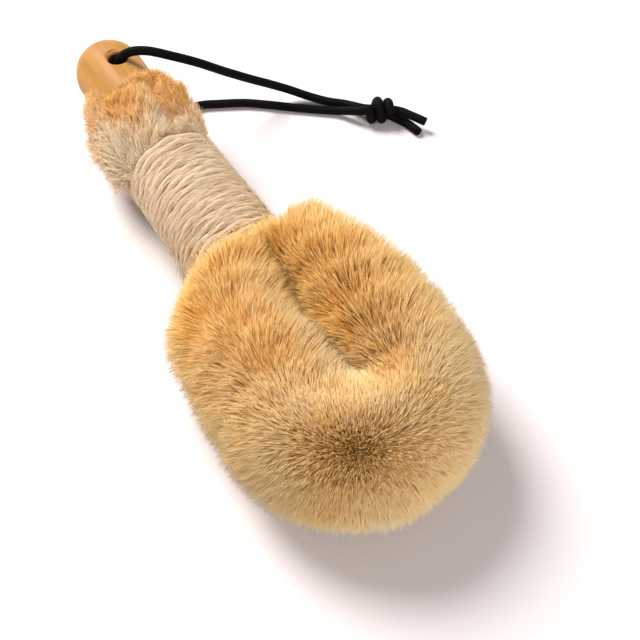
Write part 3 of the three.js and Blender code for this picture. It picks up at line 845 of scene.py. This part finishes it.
WHORL = unit(np.array(WHORL_DIRECTION))
WHORL_TURN = math.atan2(-WHORL[1], -WHORL[0])
WHORL_RISE = math.asin(WHORL[2])
WHORL_SPOT = rod_point(LEFT, LEG_LENGTH + WHORL_TURN * BEND_RADIUS) + SPOT_DEPTH * WHORL


def divider(y):
    """x of the groove between the two lobes, which runs off to the right near the wrap."""
    return GROOVE_X + GROOVE_SHIFT * (1 - smoothstep(-y, *GROOVE_RUN))


def head_roots(side, count):
    """Where fibres of one half of the head leave the rod: in its bend or not, distance and angle."""
    in_bend = rng.random(count) < BEND_SHARE
    on_bend = rng.uniform(LEG_LENGTH, ROD_END, count)
    on_leg = rng.uniform(-1.0, LEG_LENGTH, count)
    distance = np.where(in_bend, on_bend, on_leg)
    angle = rng.random(count) * math.tau
    outer_half = rng.uniform(-math.pi / 2, math.pi / 2, count)
    angle = np.where(in_bend & (rng.random(count) < OUTER_SHARE), outer_half, angle)
    at_whorl = in_bend & (rng.random(count) < WHORL_SHARE[side])
    whorl_run = LEG_LENGTH + WHORL_TURN * BEND_RADIUS + rng.normal(0.0, WHORL_LENGTH, count)
    distance = np.where(at_whorl, np.clip(whorl_run, LEG_LENGTH, ROD_END), distance)
    angle = np.where(at_whorl, WHORL_RISE + rng.normal(0.0, WHORL_WIDTH, count), angle)
    return in_bend, distance, angle


def head_directions(side, distance, angle, clumping):
    """Roots, outward and fibre directions, and spots under the surface that steer lie and tone."""
    count = len(distance)
    centre, along, outward, upward = rod_frame(np.full(count, float(side)), distance)
    most = LEAN_LEAST + LEAN_MORE[side] * np.maximum(np.cos(angle), 0.0) ** 2
    lean = np.radians(most) * (1 - smoothstep(distance, 0.0, LEAN_LENGTH)) * rng.random(count)
    radial = np.cos(angle)[:, None] * outward + np.sin(angle)[:, None] * upward
    radial = radial * np.cos(lean)[:, None] - along * np.sin(lean)[:, None]
    spot = centre + radial * SPOT_DEPTH
    round_bend = smoothstep(distance, LEG_LENGTH - 6.0, LEG_LENGTH + 14.0)
    ridge = np.sin(math.tau * distance / RIDGE_LENGTH + angle + 2.0 * noise(spot, 14.0, 22))
    comb = (side * COMB_ALONG * round_bend)[:, None] * along + (COMB_UP * round_bend)[:, None] * upward
    comb = comb + (RIDGE_DEPTH * ridge * (1 - 0.6 * round_bend))[:, None] * along
    facing = np.sum(radial * WHORL, -1)
    fan = FAN + WHORL_FAN * smoothstep(facing, 0.75, 0.98)
    comb = comb + (fan * round_bend * (facing > 0.0))[:, None] * (radial - WHORL * facing[:, None])
    splay = round_bend * np.exp(-((angle - SPLAY_RISE) / SPLAY_WIDTH) ** 2)
    jitter = rng.normal(0.0, 1.0, (count, 3)) * (0.08 + 0.03 * round_bend + 0.14 * splay)[:, None]
    clump = noise_vector(spot, 3.0, 7) + 0.6 * noise_vector(spot, 1.3, 12)
    gather = clumping * (1.0 + 1.5 * round_bend)[:, None] * clump
    direction = unit(radial + comb + jitter + gather + 0.10 * noise_vector(spot, 9.0, 17))
    return centre, outward, direction, spot


def head_fullness(side, distance):
    """Length of the fibres along one half of the head, as a share of HEAD_RADIUS."""
    return stepped(distance, *FULLNESS[side])


def wrap_edge(side, angle):
    """y at which the fur starts on the wrap, at an angle above the side of the grip."""
    return EDGE_ON_TOP + EDGE_AT_SIDE[side] * np.maximum(np.cos(angle), 0.0) ** 1.2


def shoulder(side, centre, direction, reach):
    """Reach of fibres, cut where they leave the outline of the shoulder below the wrap."""
    steps = np.linspace(0.0, 1.0, 26)
    points = centre[:, None] + direction[:, None] * (reach[:, None] * steps)[..., None]
    height = points[..., 2] - HANDLE_HEIGHT
    angle = np.arctan2(height, side * points[..., 0])
    below = wrap_edge(side, angle) - points[..., 1]
    rise = along_pairs(below, ROUND_SHOULDER)
    if side == RIGHT:
        share = smoothstep(angle, *BLUNT_ANGLES)
        rise = rise * share + along_pairs(below, BLUNT_SHOULDER) * (1 - share)
    outside = np.hypot(points[..., 0], height) > TWINE_OUTER + EDGE_CLEARANCE + rise
    first = np.where(outside.any(1), np.argmax(outside, 1), len(steps) - 1)
    return reach * steps[first]


def meet(centre, direction, outward, reach, in_bend, side):
    """Reach of fibres, shortened where those of the two lobes meet in the groove and inside the bend."""
    tip = centre + direction * reach[:, None]
    room_root = np.where(in_bend, BEND_RADIUS, (centre[:, 0] - divider(centre[:, 1])) * side)
    inward = reach * np.sum(direction * outward, -1)
    room_tip = np.where(in_bend, BEND_RADIUS + inward, (tip[:, 0] - divider(tip[:, 1])) * side)
    margin = np.where(in_bend, 0.6, -0.6) + rng.normal(0.0, 0.8, len(reach))
    share = (room_root - margin) / np.maximum(room_root - room_tip, 1e-6)
    return reach * np.where(room_tip < margin, np.clip(share, 0.35, 1.0), 1.0)


def head_lines(side, count, clumping, extra=0.0):
    """Fibres from the rod to the trimmed outline of one half of the head."""
    in_bend, distance, angle = head_roots(side, count)
    centre, outward, direction, spot = head_directions(side, distance, angle, clumping)
    reach = HEAD_RADIUS * (head_fullness(side, distance) + 0.014 * noise(spot, 6.0, 27))
    reach = shoulder(side, centre, direction, reach) * (1 - SHORTER_BY * rng.random(count) ** 1.5)
    reach = meet(centre, direction, outward, reach, in_bend, side) + extra
    bend = unit(rng.normal(0.0, 1.0, (count, 3))) * (rng.random(count) * STRAND_BEND)[:, None]
    lines = centre[:, None] + direction[:, None] * (reach[:, None] * STRAND_STEPS)[..., None]
    lines = lines + bend[:, None] * (STRAND_STEPS ** 2)[None, :, None]
    lines[..., 2] = soft_floor(lines[..., 2], *HEAD_FLOOR)
    return lines, spot


def patch(spot, x, y, width, length):
    """1 at a place seen from above, fading to 0 over a width and a length."""
    return np.exp(-((spot[:, 0] - x) / width) ** 2 - ((spot[:, 1] - y) / length) ** 2)


def head_tone(spot, lines):
    """0 for warm golden fibre, near the handle, to 1 for pale fibre, at the front and by the floor, with
    painted light: a painted highlight on the left lobe by the groove, and painted shade, warmer and darker,
    on the right lobe's inner face and at the whorl.
    """
    front = smoothstep(-spot[:, 1], 15.0, 75.0)
    low = 1 - smoothstep(lines[:, -1, 2], 2.0, 20.0)
    # painted highlight, paler on the left lobe by the groove
    parting_highlight = patch(spot, *PARTING_HIGHLIGHT)
    # painted shade, warmer on the inner face of the right lobe
    inner = patch(spot, *INNER_LOBE_SHADE)
    # painted shade, warmer and darker round the whorl
    whorl_shade = np.exp(-np.sum((spot - WHORL_SPOT) ** 2, -1) / WHORL_SHADE_RADIUS ** 2)
    patches = 0.14 * noise(spot, 9.0, 37) + 0.10 * noise(spot, 3.0, 38)
    tone = 0.20 + 0.36 * front + 0.20 * low + 0.24 * parting_highlight - 0.25 * inner - 0.3 * whorl_shade + patches
    return tone + rng.normal(0.0, 0.18, len(spot))


def collar_lines(side, count):
    """Short fibres that lie back over the edge of the twine, further at the sides than on top."""
    angle = rng.uniform(-0.5, 0.5, count) * math.pi
    back = wrap_edge(side, angle) - 2.5 + np.minimum(rng.exponential(1.6, count), 4.5)
    outer = TWINE_OUTER + EDGE_CLEARANCE + rng.random(count) * 0.6
    run = np.array([0.0, 0.4, 0.72, 1.0])
    radius = COLLAR_INNER + (outer - COLLAR_INNER)[:, None] * np.array([0.0, 0.55, 0.84, 1.0])
    y = COLLAR_START + (back - COLLAR_START)[:, None] * run
    turn = angle[:, None] + 0.12 * rng.normal(0.0, 1.0, (count, 1)) * run
    lines = on_handle(np.stack([side * radius * np.cos(turn), y, radius * np.sin(turn)], -1))
    lines[..., 2] = soft_floor(lines[..., 2], *HEAD_FLOOR)
    return lines


def head_core(side, word):
    """Dense roots of the fibres round the rod, thin in the neck and clear of the groove."""
    run = np.linspace(-2.0, ROD_END, CORE_STEPS)
    line = rod_point(np.full(CORE_STEPS, float(side)), run)
    room = np.where(run < LEG_LENGTH, np.abs(line[:, 0] - divider(line[:, 1])) - CORE_GAP, CORE_RADIUS)
    neck = CORE_TAPER[0] + CORE_TAPER[1] * np.maximum(run, 0.0)
    radius = np.minimum(np.minimum(CORE_RADIUS, room), neck)
    return tube(f"head_core_{word}", line, radius, 32, 600.0)


for side, word in LEGS:
    lines, spot = head_lines(side, HEAD_FIBRES, HEAD_CLUMPING)
    tone = head_tone(spot, lines)
    radii = HEAD_RADII * rng.uniform(0.75, 1.25, (HEAD_FIBRES, 1))
    fibre_parts(f"head_fibres_{word}", HEAD_PARTS, lines, radii, tone, head_fibre, f"head_bristles_{word}")
    lines = collar_lines(side, COLLAR_FIBRES)
    made = strands(f"head_collar_{word}", lines, HEAD_RADII, rng.uniform(0.0, 0.25, COLLAR_FIBRES))
    dress(made, head_fibre, "brush", "sisal_fibre")
    extra = rng.random(STRAY_FIBRES) * STRAY_LENGTH
    lines, spot = head_lines(side, STRAY_FIBRES, STRAY_CLUMPING, extra)
    made = strands(f"head_strays_{word}", lines, STRAY_RADII, rng.uniform(0.5, 1.0, STRAY_FIBRES))
    dress(made, head_fibre, "brush", "sisal_fibre")
    dress(head_core(side, word), head_fibre, "brush", "sisal_fibre")


# Legs under the twine and tufts beyond it

def grip_lines(side, count):
    """Fibres of one leg, pressed flat between the handle and the twine."""
    angle = (rng.random(count) - 0.5) * math.pi * 0.98
    y = np.linspace(0.4, WRAP_LENGTH, GRIP_STEPS)
    radius = GRIP_RADIUS - 0.5 - rng.random(count) * 0.6
    turn = angle[:, None] + rng.normal(0.0, 0.05, (count, GRIP_STEPS)).cumsum(1)
    x = side * radius[:, None] * np.cos(turn)
    z = radius[:, None] * np.sin(turn)
    return on_handle(np.stack([x, np.broadcast_to(y, x.shape), z], -1))


def tuft_lean(y):
    """Sideways shift of the wrap and the tufts, which sit a little to the left of the handle's axis."""
    return stepped(y, *TUFT_LEAN)


def tuft_spots(side, count):
    """Where the fibres of one tuft end: on the outline of a lobe beside the handle."""
    share = rng.random(count) ** 0.85
    angle = (rng.random(count) - 0.5) * math.pi * 1.08
    top_end = TUFT_TOP_END[side]
    end = top_end + (TUFT_SIDE_END[side] - top_end) * np.abs(np.cos(angle)) ** TUFT_ROUNDING[side]
    y = TUFT_START + share * (end - TUFT_START)
    flattening = (1 - np.cos(angle) ** 2) * (0.02 + 0.15 * share)
    width = along_pairs(y, TUFT_OUTLINE[side]) * (1 - flattening) - 0.9
    return np.stack([side * width * np.cos(angle), y, width * np.sin(angle)], -1)


def clear_of_handle(lines):
    """Points given along the handle, pushed out of its wood."""
    around = np.hypot(lines[..., 0], lines[..., 2])
    push = np.maximum((handle_radius(lines[..., 1]) + TUFT_CLEARANCE) / np.maximum(around, 0.1), 1.0)
    return lines * np.stack([push, np.ones_like(push), push], -1)


def tuft_lines(side, count):
    """Loose, curled fibres at the end of one leg."""
    spot = tuft_spots(side, count)
    y = spot[:, 1]
    clump = noise_vector(spot, 2.8, 47)
    fluff = noise_vector(spot, 1.3, 57)
    drawn_in = rng.uniform(0.84, 1.02, (count, 1))
    tip = spot * np.hstack([drawn_in, np.ones((count, 1)), drawn_in]) + 1.8 * clump + 1.1 * fluff
    root_y = np.clip(y - rng.uniform(2.0, 11.0, count), TUFT_START - 1.5, SHOULDER_START - 0.5)
    spread = rng.normal(0.0, 1.6, (count, 2))
    root = np.stack([side * LEG_OFFSET + spread[:, 0], root_y, spread[:, 1]], -1)
    steps = np.linspace(0.25, 1.0, len(TUFT_RADII) + 1)
    lines = root[:, None] + (tip - root)[:, None] * steps[None, :, None]
    axis = unit(rng.normal(0.0, 1.0, (count, 3)) + clump)
    heading = unit(tip - root)
    curl = unit(np.cross(heading, axis))
    other = np.cross(heading, curl)
    turn = math.tau * (rng.uniform(0.7, 1.7, (count, 1)) * steps + rng.random((count, 1)))
    amount = rng.uniform(0.4, 1.8, (count, 1)) * steps
    lines = lines + curl[:, None] * (amount * np.sin(turn))[..., None]
    lines = lines + other[:, None] * (amount * np.cos(turn))[..., None]
    lines = clear_of_handle(lines)
    lines[..., 0] += tuft_lean(lines[..., 1])
    lines = on_handle(lines)
    lines[..., 2] = soft_floor(lines[..., 2], *TUFT_FLOOR)
    return lines, spot


def tuft_tone(spot):
    """Golden on top by the wooden end, cream by the wrap and at the sides."""
    reach = spot[:, 1] - 0.5 * np.maximum(-spot[:, 0] - 6.0, 0.0)
    golden = smoothstep(reach, 52.0, 67.0) * (1 - 0.6 * smoothstep(spot[:, 0], 11.0, 16.0))
    golden = golden * (1 - 0.4 * smoothstep(-spot[:, 0], 11.0, 16.0))
    patches = 0.24 * noise(spot, 5.5, 77) + 0.14 * noise(spot, 2.2, 78)
    return 0.80 - 0.80 * golden + patches + rng.normal(0.0, 0.14, len(spot))


for side, word in LEGS:
    lines = grip_lines(side, GRIP_FIBRES)
    made = strands(f"grip_fibres_{word}", lines, GRIP_FIBRE_RADIUS, rng.random(GRIP_FIBRES) * 0.6)
    dress(made, twine_fibre, "brush", "sisal_fibre", f"grip_bundle_{word}")
    lines, spot = tuft_lines(side, TUFT_FIBRES)
    tone = tuft_tone(spot)
    radii = np.tile(TUFT_RADII, (TUFT_FIBRES, 1))
    fibre_parts(f"tuft_fibres_{word}", TUFT_PARTS, lines, radii, tone, tuft_fibre, f"end_tuft_{word}")


# Twine: uneven turns round the grip, with loose fibres and a frayed end

def round_grip(angle, radius, y):
    """Points round the grip, on the wrap's own slightly shifted axis."""
    return on_handle(np.stack([radius * np.cos(angle) + tuft_lean(y), y, -radius * np.sin(angle)], -1))


def unevenness(run, size, seed):
    return noise(np.stack([run, 0.0 * run, 0.0 * run], -1), size, seed)


turn_angle = np.linspace(0.0, math.tau * TWINE_TURNS, TWINE_TURNS * TURN_STEPS + 1)
run = turn_angle * TURN_RADIUS
share = turn_angle / turn_angle[-1]
middle_radius = TWINE_OUTER - TWINE_TAPER * share - PLY_RADIUS - PLY_OFFSET
middle_radius = middle_radius + 0.22 * unevenness(run, 23.0, 86)
middle_y = FIRST_Y + (LAST_Y - FIRST_Y) * share
middle_y = middle_y + 0.34 * unevenness(run, 31.0, 87) + 0.14 * unevenness(run, 9.0, 88)
for ply in range(2):
    phase = math.tau * run / TWIST_LENGTH + ply * math.pi
    ply_y = middle_y + 1.1 * PLY_OFFSET * np.sin(phase)
    line = round_grip(turn_angle, middle_radius + PLY_OFFSET * np.cos(phase), ply_y)
    thickness = PLY_RADIUS * (1.0 + 0.10 * unevenness(run, 6.0, 97 + ply))
    made = tube(f"twine_ply_{ply + 1}", line, thickness, 12, 4.0)
    dress(made, twine, "brush", "twine", "twine_wrap")


def twine_fuzz(count):
    """Fibres that lie along the turns and lift off them a little."""
    share = rng.random(count)
    angle = share * math.tau * TWINE_TURNS
    radius = TWINE_OUTER - TWINE_TAPER * share - 0.30
    y = FIRST_Y + (LAST_Y - FIRST_Y) * share + rng.normal(0.0, 0.7, count)
    length = rng.uniform(3.0, 9.0, count)
    steps = np.linspace(0.0, 1.0, len(FUZZ_RADII) + 1)
    sweep = angle[:, None] + (length / 15.0 * rng.choice([-1.0, 1.0], count))[:, None] * steps
    lift = rng.exponential(0.28, count)
    lifted = radius[:, None] + lift[:, None] * np.sin(steps * math.pi * 0.6)
    slant = rng.normal(0.0, 0.12, count)
    return round_grip(sweep, lifted, y[:, None] + (slant * length)[:, None] * steps)


def frayed_end(count):
    """The twine's loose end, on the left of the wrap near the head."""
    steps = np.linspace(0.0, 1.0, len(FRAY_RADII) + 1)
    angle = FRAY_ANGLE + rng.normal(0.0, 0.12, (count, 1)) - rng.uniform(0.0, 0.3, (count, 1)) * steps
    radius = TWINE_OUTER - 0.3 + rng.uniform(0.2, 2.2, (count, 1)) * steps ** 1.5
    y = FRAY_Y + rng.normal(0.0, 0.9, (count, 1)) - rng.uniform(0.0, 5.0, (count, 1)) * steps
    return round_grip(angle, radius, y)


made = strands("twine_fuzz", twine_fuzz(FUZZ_FIBRES), FUZZ_RADII, rng.uniform(0.3, 1.0, FUZZ_FIBRES))
dress(made, twine_fibre, "brush", "twine")
made = strands("twine_end", frayed_end(FRAY_FIBRES), FRAY_RADII, rng.uniform(0.8, 1.0, FRAY_FIBRES))
dress(made, twine_fibre, "brush", "twine")


# Floor, background and light

def floor_material():
    """Pale floor that takes shadows, and far from the brush turns into an even white backdrop."""
    mat, nodes, links, shader = material("floor", 0.9, Specular_IOR_Level=0.0)
    shader.inputs["Base Color"].default_value = FLOOR_COLOUR
    position = node(nodes, "NewGeometry")
    far = node(nodes, "VectorMath", operation="LENGTH")
    fade = node(nodes, "MapRange", From_Min=FLOOR_PLAIN, From_Max=FLOOR_WHITE)
    white = node(nodes, "Emission")
    blend = node(nodes, "MixShader")
    links.new(position.outputs["Position"], far.inputs[0])
    links.new(far.outputs["Value"], fade.inputs["Value"])
    links.new(fade.outputs["Result"], blend.inputs["Fac"])
    links.new(shader.outputs["BSDF"], blend.inputs[1])
    links.new(white.outputs["Emission"], blend.inputs[2])
    links.new(blend.outputs["Shader"], nodes["Material Output"].inputs["Surface"])
    return mat


def studio_world():
    """Dim light from all sides, and white where the camera or a shiny surface sees the background."""
    world = bpy.data.worlds.new("studio")
    world.use_nodes = True
    nodes, links = world.node_tree.nodes, world.node_tree.links
    ambient = nodes["Background"]
    ambient.inputs["Color"].default_value = AMBIENT_COLOUR
    ambient.inputs["Strength"].default_value = AMBIENT_STRENGTH
    white = node(nodes, "Background", Color=(1.0, 1.0, 1.0, 1.0), Strength=1.0)
    path = node(nodes, "LightPath")
    seen = path.outputs["Is Camera Ray"]
    for kind in ("Is Glossy Ray", "Is Transmission Ray"):
        either = node(nodes, "Math", operation="ADD", use_clamp=True)
        links.new(seen, either.inputs[0])
        links.new(path.outputs[kind], either.inputs[1])
        seen = either.outputs["Value"]
    choice = node(nodes, "MixShader")
    links.new(seen, choice.inputs["Fac"])
    links.new(ambient.outputs["Background"], choice.inputs[1])
    links.new(white.outputs["Background"], choice.inputs[2])
    links.new(choice.outputs["Shader"], nodes["World Output"].inputs["Surface"])
    return world


def area_light(name, place, aim, size, power, colour=(1.0, 1.0, 1.0)):
    spot = Vector(rotation("Z", CAMERA_AZIMUTH) @ place)
    data = bpy.data.lights.new(name, "AREA")
    data.shape = "DISK"
    data.size = size
    data.energy = power
    data.color = colour
    lamp = bpy.data.objects.new(name, data)
    lamp.location = spot
    lamp.rotation_mode = "QUATERNION"
    lamp.rotation_quaternion = (Vector(aim) - spot).to_track_quat("-Z", "Y")
    bpy.context.collection.objects.link(lamp)


floor_mesh = bpy.data.meshes.new("floor")
floor_corners = [(x * FLOOR_HALF, y * FLOOR_HALF, 0.0) for x, y in ((-1, -1), (1, -1), (1, 1), (-1, 1))]
floor_mesh.from_pydata(floor_corners, [], [(0, 1, 2, 3)])
floor_mesh.materials.append(floor_material())
floor = bpy.data.objects.new("floor", floor_mesh)
bpy.context.collection.objects.link(floor)

bpy.context.scene.world = studio_world()
area_light("key", **KEY_LAMP)
area_light("fill", **FILL_LAMP)
bpy.context.scene.view_settings.view_transform = "Standard"
